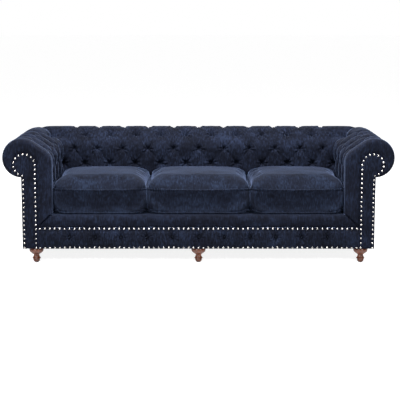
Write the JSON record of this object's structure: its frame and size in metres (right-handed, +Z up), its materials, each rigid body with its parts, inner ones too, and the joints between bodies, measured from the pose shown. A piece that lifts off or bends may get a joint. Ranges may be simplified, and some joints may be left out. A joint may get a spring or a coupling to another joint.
{
  "type": "sofa with wooden legs",
  "caption": "Three-seat sofa with rolled, deep-buttoned arms and back, loose seat cushions, domed nail trim and turned wooden legs.",
  "frame": {"origin": "on the floor, under the middle of the overall box", "axes": "+Z up, +X along the sofa to the viewer's right, the front faces -Y"},
  "size_m": [2.44, 0.96, 0.787],
  "materials": {
    "velvet": "cut-pile velvet",
    "cushion_velvet": "cut-pile velvet",
    "turned_wood": "glossy lacquer",
    "frame_wood": "sawn",
    "nail_metal": "polished nickel",
    "steel": "drawn wire",
    "webbing": "woven jute",
    "deck_cloth": "woven",
    "dust_cloth": "non-woven",
    "foam": "open-cell foam",
    "glide_plastic": "moulded"
  },
  "bodies": {
    "sofa": {"arm_battens": "frame_wood", "arm_webbing": "webbing", "back_battens": "frame_wood", "back_buttons": "velvet", "back_ribs": "frame_wood", "back_top_rail": "frame_wood", "back_upholstery": "velvet", "back_webbing": "webbing", "border_buttons": "velvet", "corner_blocks": "frame_wood", "dust_cover": "dust_cloth", "front_border": "velvet", "front_centre_leg": "turned_wood", "front_edge_roll": "velvet", "front_left_leg": "turned_wood", "front_nails": "nail_metal", "front_right_leg": "turned_wood", "front_seat_rail": "frame_wood", "left_arm_buttons": "velvet", "left_arm_facing": "velvet", "left_arm_front_band": "velvet", "left_arm_ribs": "frame_wood", "left_arm_top_rail": "frame_wood", "left_arm_upholstery": "velvet", "left_facing_board": "frame_wood", "left_facing_nails": "nail_metal", "left_outside_arm": "velvet", "left_seat_rail": "frame_wood", "leg_blocks": "frame_wood", "leg_bolts": "steel", "leg_glides": "glide_plastic", "leg_t_nuts": "steel", "outside_back": "velvet", "outside_nails": "nail_metal", "rear_centre_leg": "turned_wood", "rear_left_leg": "turned_wood", "rear_right_leg": "turned_wood", "rear_seat_rail": "frame_wood", "right_arm_buttons": "velvet", "right_arm_facing": "velvet", "right_arm_front_band": "velvet", "right_arm_ribs": "frame_wood", "right_arm_top_rail": "frame_wood", "right_arm_upholstery": "velvet", "right_facing_board": "frame_wood", "right_facing_nails": "nail_metal", "right_outside_arm": "velvet", "right_seat_rail": "frame_wood", "seat_deck": "deck_cloth", "seat_springs": "steel", "seat_stretchers": "frame_wood", "spring_clips": "steel", "spring_tie_wires": "steel"},
    "left_cushion": {"left_seat_cushion": "cushion_velvet", "left_cushion_core": "foam"},
    "centre_cushion": {"centre_seat_cushion": "cushion_velvet", "centre_cushion_core": "foam"},
    "right_cushion": {"right_seat_cushion": "cushion_velvet", "right_cushion_core": "foam"}
  },
  "joints": [
    {"name": "left_cushion_lift", "type": "slide", "parent": "sofa", "child": "left_cushion", "axis": [0, 0, 1], "range_m": [0, 0.5]},
    {"name": "centre_cushion_lift", "type": "slide", "parent": "sofa", "child": "centre_cushion", "axis": [0, 0, 1], "range_m": [0, 0.5]},
    {"name": "right_cushion_lift", "type": "slide", "parent": "sofa", "child": "right_cushion", "axis": [0, 0, 1], "range_m": [0, 0.5]}
  ]
}
